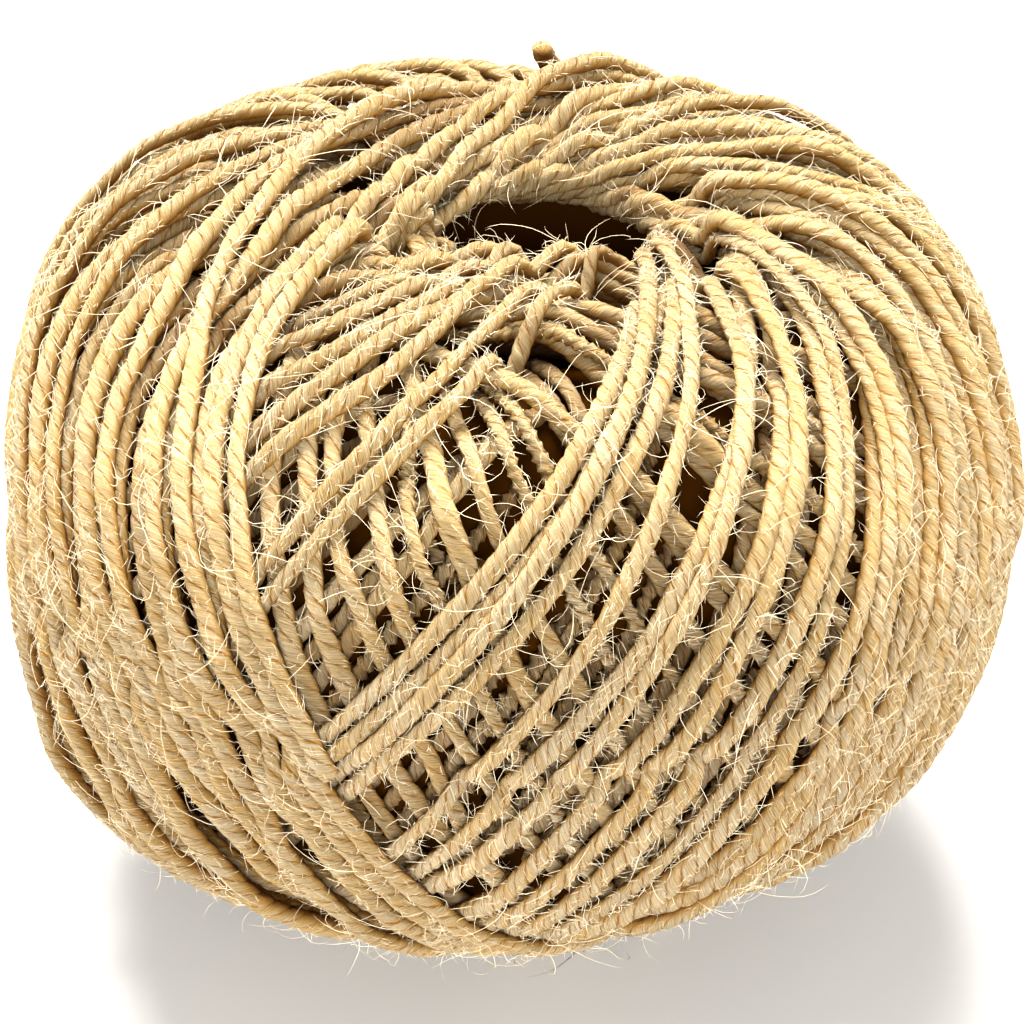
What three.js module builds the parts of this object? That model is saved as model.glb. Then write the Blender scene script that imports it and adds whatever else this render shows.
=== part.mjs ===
import * as THREE from 'three';

// A roll of flax twine: one ball of twine, wound turn over turn round an open middle, so that a
// finger-wide hole runs through it from top to bottom, and one short free end of the twine that
// lies over its back.
// Units are millimetres and +Z is up. The origin is on the floor, below the middle of the ball.
// Azimuths are in degrees: 0 is the front (-Y) and 90 is the right (+X).
// A place on the ball is an azimuth and a run. The run is -1 at the top rim of the hole, 0 at the
// belly and 1 at the lower rim, and grows evenly with the length along the ball's outside.

// Driving dimensions
const BELLY_RADIUS = 45;
const BALL_HEIGHT = 63.2;
const TWINE_ACROSS = 1.8;
const HOLE_SHIFT = { x: 2.6, y: 3.2 }; // the hole's middle, seen from above, from the belly's
const HOLE_SHIFT_REACH = 37; // over this much of the radius, measured in from the belly
const GROOVE_DEPTH = 2.4;    // how deep the grooves between the main twists are
const MIDDLE = { x: 0.44, y: 0.2 }; // the ball's middle, seen from above, from its outline's

// The ball's outline on one side, once round: up the hole's wall, over the crown, down the
// outside and back under the foot. out is a share of the belly's radius, up of the height.
const OUTLINE = [
  { place: 'waist', out: 0.145, up: 0.54, steps: 1 },
  { place: 'upper wall', out: 0.15, up: 0.74, steps: 1 },
  { place: 'throat', out: 0.18, up: 0.88, steps: 1 },
  { place: 'rim', out: 0.245, up: 0.95, steps: 2 },
  { place: 'crown', out: 0.37, up: 0.988, steps: 2 },
  { place: 'crest', out: 0.51, up: 1, steps: 3 },
  { place: 'shoulder', out: 0.69, up: 0.968, steps: 4 },
  { place: 'upper flank', out: 0.862, up: 0.87, steps: 4 },
  { place: 'high belly', out: 0.969, up: 0.728, steps: 4 },
  { place: 'belly', out: 1, up: 0.578, steps: 4 },
  { place: 'low belly', out: 0.969, up: 0.411, steps: 4 },
  { place: 'lower flank', out: 0.876, up: 0.253, steps: 4 },
  { place: 'haunch', out: 0.711, up: 0.119, steps: 3 },
  { place: 'heel', out: 0.556, up: 0.04, steps: 2 },
  { place: 'foot', out: 0.422, up: 0, steps: 1 },
  { place: 'foot edge', out: 0.289, up: 0, steps: 1 },
  { place: 'under rim', out: 0.2, up: 0.055, steps: 1 },
  { place: 'lower throat', out: 0.156, up: 0.19, steps: 1 },
  { place: 'lower wall', out: 0.145, up: 0.332, steps: 1 },
];

// Where the ball is wound fuller or slacker than its outline. lift is in mm, along the outward
// normal, and width and reach say how far it spreads round the ball and along the run.
const SWELLS = [
  { place: 'upper left back', azimuth: -112, width: 44, run: -0.52, reach: 0.32, lift: 3.6 },
  { place: 'upper right back', azimuth: 120, width: 36, run: -0.52, reach: 0.3, lift: 1.6 },
  { place: 'left belly', azimuth: -90, width: 60, run: 0, reach: 0.4, lift: -1.2 },
  { place: 'lower left', azimuth: -76, width: 40, run: 0.42, reach: 0.26, lift: 3 },
  { place: 'under the left', azimuth: -40, width: 40, run: 0.74, reach: 0.2, lift: -1.6 },
  { place: 'lower right', azimuth: 35, width: 42, run: 0.66, reach: 0.3, lift: -3 },
];

// Where turns lean over the top of the hole, or draw back from it. x, y and z are in mm, and width
// says how far round the hole it spreads.
const LIPS = [
  { place: 'near lip', azimuth: 0, width: 60, x: 0, y: 7, z: 1.2 },
  { place: 'far lip', azimuth: 180, width: 60, x: 0, y: 1, z: 0.3 },
  { place: 'left lip', azimuth: -90, width: 45, x: 3, y: 0, z: 0.5 },
  { place: 'right lip', azimuth: 90, width: 45, x: -1.5, y: 0, z: 0.3 },
];
const LIP_START = 0.62;      // of the way from the belly to the top rim
const LIP_FOOT = 0.7;        // and this share of the ball's height, down inside the hole

// The main twists, in the order in which they were wound. A turn goes down the outside past the
// belly at its azimuth, under the ball beside the hole, up the far side and back beside the hole.
// Turns start from first, one every step degrees. lean is how far a turn slants round the ball
// on its way from the belly to a rim, half is half the width of a twist in mm, and level is how
// high the twist stands in the grooves: 1 is the ball's outline.
const TWISTS = [
  { place: 'deep turns', first: -374, step: 12, count: 7, lean: 34, half: 3.2, level: 0.4 },
  { place: 'crossing turns', first: -288, step: 11, count: 9, lean: 45, half: 3.6, level: 0.55 },
  { place: 'bundle', first: -179, step: 10, count: 1, lean: 58, half: 5.6, level: 0.9 },
  { place: 'open fan', first: -163, step: 9, count: 4, lean: 52, half: 3.8, level: 0.75 },
  { place: 'close turns', first: -124, step: 9, count: 13, lean: 48, half: 4.4, level: 1 },
];
const TOP_SWING = 104;       // degrees that a turn goes round between the belly and the top rim
const LOW_SWING = 80;        // and between the belly and the lower rim
const SWING_POWER = 8;       // how late the turn swings round: higher is nearer to the rim
const NEAREST_TO_RIM = 0.999; // the share of the way to the rim at which a turn is side on to it

// The free end of the twine: it leaves the turns on the back of the ball, lies over them and
// ends, cut off, just proud of the shoulder.
const LOOSE_END_ROUTE = [
  [23.2, 37.6, 30.6],
  [21.6, 39.1, 33.2],
  [19.7, 40.1, 35.9],
  [17.9, 41, 38.3],
  [16.1, 41.6, 40.5],
  [14.3, 41.8, 42.8],
  [12.6, 42.3, 45.1],
  [11.1, 42.7, 47.5],
  [9.4, 42.2, 49.7],
  [7.9, 41.4, 51.8],
  [6.5, 40.4, 53.6],
  [5.4, 39.4, 55.6],
  [4.4, 38.1, 57.3],
  [3.6, 36.7, 59],
  [3.1, 35.1, 60.6],
  [2.7, 33.6, 62.3],
];
const CORD_SIDES = 8;
const CORD_STEP = 2.5;       // length of each of the cord's faces, in diameters

const CURVE_TENSION = 0.5;   // of the smooth curve through the outline's points

// The runs over which the relief fades out towards the foot and towards the top rim.
const FOOT_FADE = { from: 0.58, to: 0.8 };
const CROWN_FADE = { from: 0.8, to: 0.96 };
const FLOOR_TOUCH = 0.05;    // what is lower than this rests on the floor

const COLUMNS = 120;         // faces once round the ball
const DRY_ROUGHNESS = 0.85;
const STRAW = 0xc9ab72;
const PALE_STRAW = 0xd2b67e;
const radians = THREE.MathUtils.degToRad;

// The outline as rows from the waist round to the lower wall, each with its radius, its height,
// its outward normal and its run.
function outlineRows() {
  const points = OUTLINE.map(({ out, up }) => new THREE.Vector3(out * BELLY_RADIUS, 0, up * BALL_HEIGHT));
  const curve = new THREE.CatmullRomCurve3(points, true, 'catmullrom', CURVE_TENSION);
  const rows = [];
  OUTLINE.forEach(({ place, steps }, index) => {
    for (let step = 0; step < steps; step += 1) {
      const share = (index + step / steps) / OUTLINE.length;
      const point = curve.getPoint(share);
      const along = curve.getTangent(share);
      const normal = { out: -along.z, up: along.x };
      rows.push({ place: step ? null : place, out: point.x, up: point.z, normal });
    }
  });
  addRuns(rows);
  return rows;
}

// Gives each row its run from the lengths between the rim, the belly and the under rim. The
// rows of the hole's wall keep the run of the rim that they are nearest to.
function addRuns(rows) {
  const indexOf = (place) => rows.findIndex((row) => row.place === place);
  const belly = indexOf('belly');
  const lengths = [0];
  for (let index = 1; index < rows.length; index += 1) {
    const { out, up } = rows[index - 1];
    lengths.push(lengths[index - 1] + Math.hypot(rows[index].out - out, rows[index].up - up));
  }
  const topLength = lengths[belly] - lengths[indexOf('rim')];
  const lowLength = lengths[indexOf('under rim')] - lengths[belly];
  rows.forEach((row, index) => {
    const length = lengths[index] - lengths[belly];
    row.run = THREE.MathUtils.clamp(length / (length < 0 ? topLength : lowLength), -1, 1);
    row.halfLength = length < 0 ? topLength : lowLength;
    row.rimHeight = rows[indexOf('rim')].up;
  });
}

// The shortest way round from one azimuth to another, in degrees.
function turnBetween(from, to) {
  return THREE.MathUtils.euclideanModulo(to - from + 180, 360) - 180;
}

// How far the ball is wound out past its outline at a place: a sum of soft mounds.
function swellAt(run, azimuth) {
  let lift = 0;
  for (const swell of SWELLS) {
    const across = turnBetween(swell.azimuth, azimuth) / swell.width;
    const along = (run - swell.run) / swell.reach;
    lift += swell.lift * Math.exp(-across * across - along * along);
  }
  return lift;
}

// How far round a turn has gone from its azimuth at the belly: an even slant, and a quick swing
// near the rim, which brings the turn side on to the hole.
function swing(share, whole, lean) {
  return lean * share + (whole - lean) * (1 - Math.sqrt(1 - share ** SWING_POWER));
}

// How steeply the azimuth of a turn grows with its share of the way to the rim.
function swingSlope(share, whole, lean) {
  const late = (SWING_POWER / 2) * share ** (SWING_POWER - 1);
  return lean + ((whole - lean) * late) / Math.sqrt(1 - share ** SWING_POWER);
}

// How high the nearest twist stands at a place, from 0 in a groove to 1 on the ball's outline.
// Each turn passes twice, once on its way down and once on its way up.
function twistAt(row, azimuth) {
  const share = Math.min(Math.abs(row.run), NEAREST_TO_RIM);
  const whole = row.run < 0 ? TOP_SWING : LOW_SWING;
  let height = 0;
  for (const { first, step, count, lean, half, level } of TWISTS) {
    const round = Math.sign(row.run) * swing(share, whole, lean);
    const slant = Math.atan2(radians(swingSlope(share, whole, lean)) * row.out, row.halfLength);
    for (let turn = 0; turn < count; turn += 1) {
      const down = first + step * turn + round;
      const up = first + step * turn + 2 * LOW_SWING - round;
      const offset = Math.min(Math.abs(turnBetween(down, azimuth)), Math.abs(turnBetween(up, azimuth)));
      const across = Math.min(1, (radians(offset) * row.out * Math.cos(slant)) / half);
      height = Math.max(height, level * Math.cos((Math.PI / 2) * across) ** 2);
    }
  }
  return height;
}

// Swells and grooves fade out towards the foot, so that the ball rests on a flat ring, and the
// grooves fade out towards the top rim too, where the turns lie too close for them.
function footShare(run) {
  return 1 - THREE.MathUtils.smoothstep(run, FOOT_FADE.from, FOOT_FADE.to);
}

function crownShare(run) {
  return 1 - THREE.MathUtils.smoothstep(-run, CROWN_FADE.from, CROWN_FADE.to);
}

// The surface's points, row by row, each with its lift from the outline.
function ballPoints(rows) {
  const points = [];
  for (const row of rows) {
    const shift = THREE.MathUtils.clamp((BELLY_RADIUS - row.out) / HOLE_SHIFT_REACH, 0, 1);
    const foot = footShare(row.run);
    const depth = GROOVE_DEPTH * foot * crownShare(row.run);
    const leaning = lipShare(row);
    for (let column = 0; column < COLUMNS; column += 1) {
      const azimuth = (360 * column) / COLUMNS;
      const groove = depth ? depth * (1 - twistAt(row, azimuth)) : 0;
      const lift = foot * swellAt(row.run, azimuth) - groove;
      const radius = row.out + row.normal.out * lift;
      const lip = lipAt(azimuth);
      const height = row.up + row.normal.up * lift + leaning * lip.z;
      const x = shift * HOLE_SHIFT.x + radius * Math.sin(radians(azimuth)) + leaning * lip.x - MIDDLE.x;
      const y = shift * HOLE_SHIFT.y - radius * Math.cos(radians(azimuth)) + leaning * lip.y - MIDDLE.y;
      points.push({ x, y, z: height < FLOOR_TOUCH ? 0 : height, lift });
    }
  }
  return points;
}

// How far the lips have grown at a row: outside the rim by its run, inside the hole by its height.
function lipShare(row) {
  if (row.run > -1) return THREE.MathUtils.smoothstep(-row.run, LIP_START, 1);
  return THREE.MathUtils.smoothstep(row.up, LIP_FOOT * BALL_HEIGHT, row.rimHeight);
}

// The sum of the lips at an azimuth, each a soft bell round the hole.
function lipAt(azimuth) {
  const sum = { x: 0, y: 0, z: 0 };
  for (const lip of LIPS) {
    const share = Math.exp(-((turnBetween(lip.azimuth, azimuth) / lip.width) ** 2));
    sum.x += lip.x * share;
    sum.y += lip.y * share;
    sum.z += lip.z * share;
  }
  return sum;
}

// One closed surface: the rows carried round the ball. Each four-sided cell is cut in two along
// the diagonal whose ends stand more alike, so that the cuts follow the twists.
function ballGeometry() {
  const rows = outlineRows();
  const points = ballPoints(rows);
  const faces = [];
  for (let row = 0; row < rows.length; row += 1) {
    const next = (row + 1) % rows.length;
    for (let column = 0; column < COLUMNS; column += 1) {
      const beside = (column + 1) % COLUMNS;
      const [a, b] = [row * COLUMNS + column, row * COLUMNS + beside];
      const [c, d] = [next * COLUMNS + beside, next * COLUMNS + column];
      const stepRight = Math.abs(points[a].lift - points[c].lift);
      const stepLeft = Math.abs(points[b].lift - points[d].lift);
      if (stepRight < stepLeft) faces.push(a, d, c, a, c, b);
      else faces.push(a, d, b, b, d, c);
    }
  }
  const geometry = new THREE.BufferGeometry();
  const positions = points.flatMap(({ x, y, z }) => [x, y, z]);
  geometry.setAttribute('position', new THREE.Float32BufferAttribute(positions, 3));
  geometry.setIndex(faces);
  geometry.computeVertexNormals();
  return geometry;
}

// A round cord along a route of points.
function cordGeometry(route, across) {
  const section = new THREE.Shape();
  for (let side = 0; side < CORD_SIDES; side += 1) {
    const angle = (2 * Math.PI * side) / CORD_SIDES;
    const corner = [(across / 2) * Math.cos(angle), (across / 2) * Math.sin(angle)];
    if (side) section.lineTo(...corner);
    else section.moveTo(...corner);
  }
  const path = new THREE.CatmullRomCurve3(route.map((point) => new THREE.Vector3(...point)));
  const steps = Math.ceil(path.getLength() / (CORD_STEP * across));
  return new THREE.ExtrudeGeometry(section, { steps, bevelEnabled: false, extrudePath: path });
}

// Straw-coloured, dull and dry.
function flaxMaterial(color) {
  return new THREE.MeshStandardMaterial({ color, roughness: DRY_ROUGHNESS, metalness: 0 });
}

function ball() {
  const mesh = new THREE.Mesh(ballGeometry(), flaxMaterial(STRAW));
  mesh.name = 'wound_ball';
  return mesh;
}

function looseEnd() {
  const mesh = new THREE.Mesh(cordGeometry(LOOSE_END_ROUTE, TWINE_ACROSS), flaxMaterial(PALE_STRAW));
  mesh.name = 'loose_end';
  return mesh;
}

const roll = new THREE.Group();
roll.add(ball(), looseEnd());
export default roll;
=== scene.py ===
# %% [markdown]
# # A roll of flax twine
# One length of three-ply flax twine, wound turn over turn into a ball with an open middle. This
# lesson winds it again, turn by turn: each turn follows a path round the ball, is pulled tight
# over the turns below it, and becomes a twisted surface with loose fibres standing off it.
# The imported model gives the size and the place, and everything here is fitted to it.

# %% Load the frame
import math

import bpy
import numpy as np
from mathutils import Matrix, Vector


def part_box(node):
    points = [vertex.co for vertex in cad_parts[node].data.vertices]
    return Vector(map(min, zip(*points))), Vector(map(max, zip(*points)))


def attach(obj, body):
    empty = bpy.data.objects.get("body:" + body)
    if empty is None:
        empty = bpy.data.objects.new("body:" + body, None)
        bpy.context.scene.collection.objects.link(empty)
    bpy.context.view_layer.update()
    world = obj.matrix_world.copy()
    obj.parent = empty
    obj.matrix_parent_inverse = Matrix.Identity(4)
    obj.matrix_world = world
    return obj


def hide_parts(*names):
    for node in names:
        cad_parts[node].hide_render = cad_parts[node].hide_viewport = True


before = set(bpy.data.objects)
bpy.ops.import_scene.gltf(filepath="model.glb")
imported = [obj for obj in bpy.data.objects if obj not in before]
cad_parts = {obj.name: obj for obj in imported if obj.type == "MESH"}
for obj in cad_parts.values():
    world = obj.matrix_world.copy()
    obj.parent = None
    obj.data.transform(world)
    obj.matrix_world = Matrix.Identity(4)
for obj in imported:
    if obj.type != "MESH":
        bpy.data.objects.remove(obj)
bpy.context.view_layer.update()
ball_low, ball_high = [np.array(corner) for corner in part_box("wound_ball")]
print("ball", (ball_high - ball_low).round(4), "m")

# %% [markdown]
# ## The camera
# The photograph looks down on the ball by about a third of a right angle, from about 40 cm away.
# The angle was found from the ball's outline and the place of its hole. The point that the camera
# looks at is a few pixels off the picture's middle, so the lens is shifted by that much. The
# camera comes first, because the cord's rules ask what it sees.

# %% The camera
MM = 0.001
PICTURE = 1024  # pixels across and down
CAMERA_ELEVATION = math.radians(33)
CAMERA_DISTANCE = 400 * MM
LOOKS_AT = np.array([-0.44, -0.2, 35]) * MM
PIXELS_PER_MM = 11.27  # at the point that the camera looks at
SENSOR = 36
AIM_PIXEL = (508, 500)  # where that point lies in the picture

camera = bpy.data.objects.new("camera", bpy.data.cameras.new("camera"))
bpy.context.scene.collection.objects.link(camera)
bpy.context.scene.camera = camera
away = np.array([0, -math.cos(CAMERA_ELEVATION), math.sin(CAMERA_ELEVATION)])
camera.location = LOOKS_AT + away * CAMERA_DISTANCE
camera.rotation_euler = (math.pi / 2 - CAMERA_ELEVATION, 0, 0)
camera.data.sensor_width = SENSOR
camera.data.lens = SENSOR * PIXELS_PER_MM * CAMERA_DISTANCE / MM / PICTURE
camera.data.shift_x = (PICTURE / 2 - AIM_PIXEL[0]) / PICTURE
camera.data.shift_y = (AIM_PIXEL[1] - PICTURE / 2) / PICTURE
camera.data.clip_start, camera.data.clip_end = 0.01, 10
print("lens", round(camera.data.lens, 1), "mm")

# %% [markdown]
# ## The ball's outline
# Cut down its middle, the ball is a fat ring: up the hole's wall, over the crown, down the
# outside and back under the foot. Nineteen named points, joined by one smooth closed curve, give
# that section. A place on the ball is then two numbers: its azimuth round the ball, 0 at the
# front and 90 on the right, and its run down the outside, -1 at the top rim of the hole, 0 at
# the belly and 1 at the lower rim. A third number, the lift, goes along the outward normal.

# %% The outline as a curve
BELLY_RADIUS = 45.0
BALL_HEIGHT = 63.2
HOLE_SHIFT, HOLE_SHIFT_REACH = np.array([2.6, 3.2]), 37.0
MIDDLE = np.array([0.44, 0.2])
OUTLINE = [  # place, share of the belly's radius, share of the height
    ("waist", 0.145, 0.54), ("upper wall", 0.15, 0.74), ("throat", 0.18, 0.88),
    ("rim", 0.245, 0.95), ("crown", 0.37, 0.988), ("crest", 0.51, 1.0),
    ("shoulder", 0.69, 0.968), ("upper flank", 0.862, 0.87), ("high belly", 0.969, 0.728),
    ("belly", 1.0, 0.578), ("low belly", 0.969, 0.411), ("lower flank", 0.876, 0.253),
    ("haunch", 0.711, 0.119), ("heel", 0.556, 0.04), ("foot", 0.422, 0.0),
    ("foot edge", 0.289, 0.0), ("under rim", 0.2, 0.055), ("lower throat", 0.156, 0.19),
    ("lower wall", 0.145, 0.332)]
STEPS = 24  # points on each span of the curve


def smooth_loop(points, steps):
    """A closed curve through points: on each span a cubic whose slope at either end is half the
    way between that end's two neighbours."""
    before, here, after, beyond = [np.roll(points, shift, axis=0)[:, None]
                                   for shift in (1, 0, -1, -2)]
    t = np.linspace(0, 1, steps, endpoint=False)[None, :, None]
    slopes = (after - before) * t
    bend = (2 * before - 5 * here + 4 * after - beyond) * t ** 2
    twist = (3 * here - before - 3 * after + beyond) * t ** 3
    return (here + (slopes + bend + twist) / 2).reshape(-1, points.shape[1])


corners_of_section = np.array([(out * BELLY_RADIUS, up * BALL_HEIGHT) for _, out, up in OUTLINE])
section = smooth_loop(corners_of_section, STEPS)
index_of = {place: STEPS * index for index, (place, _, _) in enumerate(OUTLINE)}
first_place = index_of["upper wall"]
outside = section[first_place:index_of["lower throat"] + 1]
steps_along = np.linalg.norm(np.diff(outside, axis=0), axis=1)
length_along = np.concatenate([[0], np.cumsum(steps_along)])
at_rim, at_belly, at_under_rim = [length_along[index_of[place] - first_place]
                                  for place in ("rim", "belly", "under rim")]
TOP_LENGTH, LOW_LENGTH = at_belly - at_rim, at_under_rim - at_belly
outside_run = (length_along - at_belly) / np.where(length_along < at_belly, TOP_LENGTH, LOW_LENGTH)
slope = np.gradient(outside, axis=0)
slope /= np.linalg.norm(slope, axis=1)[:, None]
print("rim to belly", round(TOP_LENGTH, 1), "mm; belly to lower rim", round(LOW_LENGTH, 1), "mm")

# %% [markdown]
# ## What is not quite round
# The ball was wound fuller at the upper left of its back and slacker at the lower right. Each is
# a soft mound added to the lift, which fades out at the foot, so that the ball rests on a flat
# ring. Round the hole's top the turns lean over the opening as soft lips.

# %% Places on the ball
SWELLS = [  # place, azimuth, width, run, reach, lift
    ("upper left back", -112, 44, -0.52, 0.32, 3.6), ("upper right back", 120, 36, -0.52, 0.30, 1.6),
    ("left belly", -90, 60, 0.0, 0.40, -1.2), ("lower left", -76, 40, 0.42, 0.26, 3.0),
    ("under the left", -40, 40, 0.74, 0.20, -1.6), ("lower right", 35, 42, 0.66, 0.30, -3.0)]
FOOT_FADE = (0.58, 0.8)
LIPS = [  # place, azimuth, width, and how far the turns lean over the hole's top in x, y and z
    ("near lip", 0, 60, 0.0, 7.0, 1.2), ("far lip", 180, 60, 0.0, 1.0, 0.3),
    ("left lip", -90, 45, 3.0, 0.0, 0.5), ("right lip", 90, 45, -1.5, 0.0, 0.3)]
LIP_START, LIP_FOOT = 0.62, 0.7  # shares of the way to the rim, and up inside
RIM_HEIGHT = dict((place, up) for place, _, up in OUTLINE)["rim"] * BALL_HEIGHT


def smooth_step(value, low, high):
    """0 below low, 1 above high, and a soft S between them."""
    share = np.clip((value - low) / (high - low), 0, 1)
    return share * share * (3 - 2 * share)


def turned(azimuth, from_azimuth):
    """The shortest way round, in degrees, from one azimuth to the other."""
    return (azimuth - from_azimuth + 180) % 360 - 180


def swell(run, azimuth):
    """The sum of the soft mounds: each is its lift times a bell curve round and a bell along."""
    total = np.zeros(np.broadcast(run, azimuth).shape)
    for _, centre, width, along, reach, lift in SWELLS:
        total += lift * np.exp(-(turned(azimuth, centre) / width) ** 2 - ((run - along) / reach) ** 2)
    return total * (1 - smooth_step(run, *FOOT_FADE))


def lean_over(share, azimuth):
    """How far the lips move a point: each lip's lean times a bell round the hole, by a share."""
    total = np.zeros(np.broadcast(share, azimuth).shape + (3,))
    for _, centre, width, *lean in LIPS:
        bell = np.exp(-(turned(azimuth, centre) / width) ** 2)
        total += (share * bell)[..., None] * np.array(lean)
    return total


def on_ball(run, azimuth, lift=0.0):
    """The point, in mm, at a run and azimuth: the outline's point there, moved out along its
    normal by the swell and the lift, turned round to the azimuth, kept off the floor and, near
    the hole's top, moved by the lips."""
    out, up, slope_out, slope_up = [np.interp(run, outside_run, column)
                                    for column in (*outside.T, *slope.T)]
    raised = lift + swell(run, azimuth)
    radius = out - slope_up * raised
    height = np.maximum(up + slope_out * raised, 0)
    shift = np.clip((BELLY_RADIUS - out) / HOLE_SHIFT_REACH, 0, 1)
    angle = np.radians(azimuth)
    x = shift * HOLE_SHIFT[0] + radius * np.sin(angle) - MIDDLE[0]
    y = shift * HOLE_SHIFT[1] - radius * np.cos(angle) - MIDDLE[1]
    inside = smooth_step(up, LIP_FOOT * BALL_HEIGHT, RIM_HEIGHT)
    near_hole = np.where(run > -1, smooth_step(-run, LIP_START, 1), inside)
    return np.stack([x, y, height], axis=-1) + lean_over(near_hole, azimuth)


def radius_at(run):
    """The outline's distance from the ball's axis at a run, in mm."""
    return np.interp(run, outside_run, outside[:, 0])


print("belly at the front", on_ball(0.0, 0.0).round(1), "and crest", on_ball(-0.75, 0.0).round(1))

# %% [markdown]
# ## The way of a turn
# A winding arm lays the twine down one side of the ball, under it beside the hole, up the other
# side and back over the top beside the hole, while the ball turns slowly. Seen from outside, a
# turn is an even slant from the belly towards a rim, and near the rim it swings round until it
# passes side on to the hole. On its way down it slants one way and on its way up the other,
# which makes the crossing pattern. The way from the belly past a rim and back to the belly, half
# a turn, is one pass.

# %% Passes and turns
DOWN_SWING, UP_SWING = 104.0, 96.0  # degrees between the belly and the top rim, down and up
LOW_SWING = 80.0  # degrees between the belly and the lower rim
SWING_POWER = 8.0
PASS_DETAIL = 800  # points at which a pass is worked out
SAMPLE = 0.5  # mm between the points of a path
ASIDE_WAVES = [(30, 1.0), (9, 0.3)]  # points between knots, and share of the straying
ALONG_WAVE = 36  # points between knots, towards a rim
winder = np.random.default_rng(7)


def swing(share, whole, lean):
    """Degrees gone round at a share of the way to the rim: lean times the share, and the rest
    of the whole as one minus the height of a flat round arch."""
    arch = np.sqrt(np.clip(1 - share ** SWING_POWER, 0, 1))
    return lean * share + (whole - lean) * (1 - arch)


def wander(count, spacing, amount):
    """A smooth random course: random heights at even knots, joined by soft S curves."""
    knots = winder.uniform(-amount, amount, int(count / spacing) + 3)
    place = np.arange(count) / spacing
    low = place.astype(int)
    share = smooth_step(place - low, 0, 1)
    return knots[low] * (1 - share) + knots[low + 1] * share


def half_turn(belly, pitch, lean, reach, low):
    """The run and azimuth of one pass at even lengths. It leaves the belly at an azimuth, passes
    the low or the top rim and comes back to the belly; its share of the way to the rim is the
    sine of its progress, and the azimuth gains half the pitch on the way."""
    progress = np.linspace(0, 1, PASS_DETAIL)
    share = np.sin(progress * np.pi)
    out_swing, back_swing = (LOW_SWING, LOW_SWING) if low else (UP_SWING, DOWN_SWING)
    outward, homeward = swing(share, out_swing, lean), swing(share, back_swing, lean)
    gained = belly + pitch * progress / 2
    azimuth = gained + np.where(progress < 0.5, outward, out_swing + back_swing - homeward)
    run = share * reach * (1 if low else -1)
    steps = np.linalg.norm(np.diff(on_ball(run, azimuth), axis=0), axis=1)
    length = np.concatenate([[0], np.cumsum(steps)])
    even = np.arange(0, length[-1], SAMPLE)
    return np.interp(even, length, run), np.interp(even, length, azimuth)


def stray(run, azimuth, amount):
    """Lets a pass wander sideways by up to an amount in mm, but not at its two ends."""
    ends = np.sin(np.linspace(0, np.pi, len(run))) ** 0.5
    aside = sum(wander(len(run), spacing, share * amount) for spacing, share in ASIDE_WAVES)
    azimuth = azimuth + ends * np.degrees(aside / radius_at(run))
    run = run + ends * wander(len(run), ALONG_WAVE, amount) / TOP_LENGTH
    return run, azimuth


# %% [markdown]
# ## The winding table
# From the inside out: the filling and the deep turns are only seen through gaps; the crossing
# turns make the open net on the right; then come the four turns of the bundle that crosses the
# front and the open fan on its right; and last the close turns, which cover the left side and
# end in the long edge that runs down the front.

# %% The winding table
WINDING = [  # stretch, first azimuth at the belly, pitch, turns, lean, reach, straying
    ("filling", 0.0, 3.9, 92, 42.0, (0.80, 1.03), 0.9),
    ("deep_turns", -384.0, 5.6, 17, 34.0, (0.80, 1.03), 0.9),
    ("crossing_turns", -290.0, 6.8, 12, 45.0, (0.86, 1.04), 0.7),
    ("pair", -204.0, 3.6, 2, 40.0, (0.93, 1.0), 0.3),
    ("bundle", -184.0, 3.0, 4, 56.0, (0.97, 1.03), 0.25),
    ("open_fan", -167.0, 5.4, 8, 52.0, (0.86, 1.02), 0.5),
    ("close_turns", -124.0, 3.25, 36, 41.0, (0.80, 1.03), 0.4)]

# %% [markdown]
# ## Pulled tight over what lies below
# Twine under tension lies on the turns beneath it and runs straight between them. A map of the
# ball, in small cells of run and azimuth, keeps the height of whatever was laid last. For each
# pass, the height that it must clear is read from the map across its width, the pass is pulled
# tight, and then it is added to the map. Of a few ways past the rim it takes the lowest one, as
# real twine slips into the valley between two turns.

# %% The height map
TWINE_RADIUS = 0.82  # mm, to the crowns of the plies
FLATTENED = 0.9  # share of the radius left where turns lie on each other
RUN_LIMIT = 1.12  # the map ends a little way inside the hole
RUN_CELLS, ROUND_CELLS = 330, 900
FILLED_TO = -4.6  # lift of the surface that the winding starts on
ACROSS = np.linspace(-0.6, 0.6, 7)  # places across the twine, in radii, that rest
PRESSED = np.linspace(-0.8, 0.8, 17)  # places across the twine that press
TIGHTENING = 200  # rounds of pulling a pass tight
ROUND_HOLE = 0.85  # run beyond which a turn lies close about the hole
CLOSE_BRIDGE, FREE_BRIDGE = 0.5, 9.0  # mm that a turn may stand off, there and elsewhere
heights = np.full((RUN_CELLS, ROUND_CELLS), FILLED_TO)


def cells(run, azimuth, across):
    """The map's cells at distances across a path, in mm: the path's own direction, measured in
    mm, is turned by a right angle and measured back into run and azimuth."""
    mm_per_run = np.where(run < 0, TOP_LENGTH, LOW_LENGTH)
    mm_per_degree = np.radians(radius_at(run))
    along_run, along_round = np.gradient(run) * mm_per_run, np.gradient(azimuth) * mm_per_degree
    size = np.hypot(along_run, along_round) + 1e-9
    beside_run = run[:, None] - (along_round / size / mm_per_run)[:, None] * across
    beside_round = azimuth[:, None] + (along_run / size / mm_per_degree)[:, None] * across
    row = np.clip(((beside_run / RUN_LIMIT + 1) / 2 * RUN_CELLS).astype(int), 0, RUN_CELLS - 1)
    column = (beside_round / 360 * ROUND_CELLS).astype(int) % ROUND_CELLS
    return row, column


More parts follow.
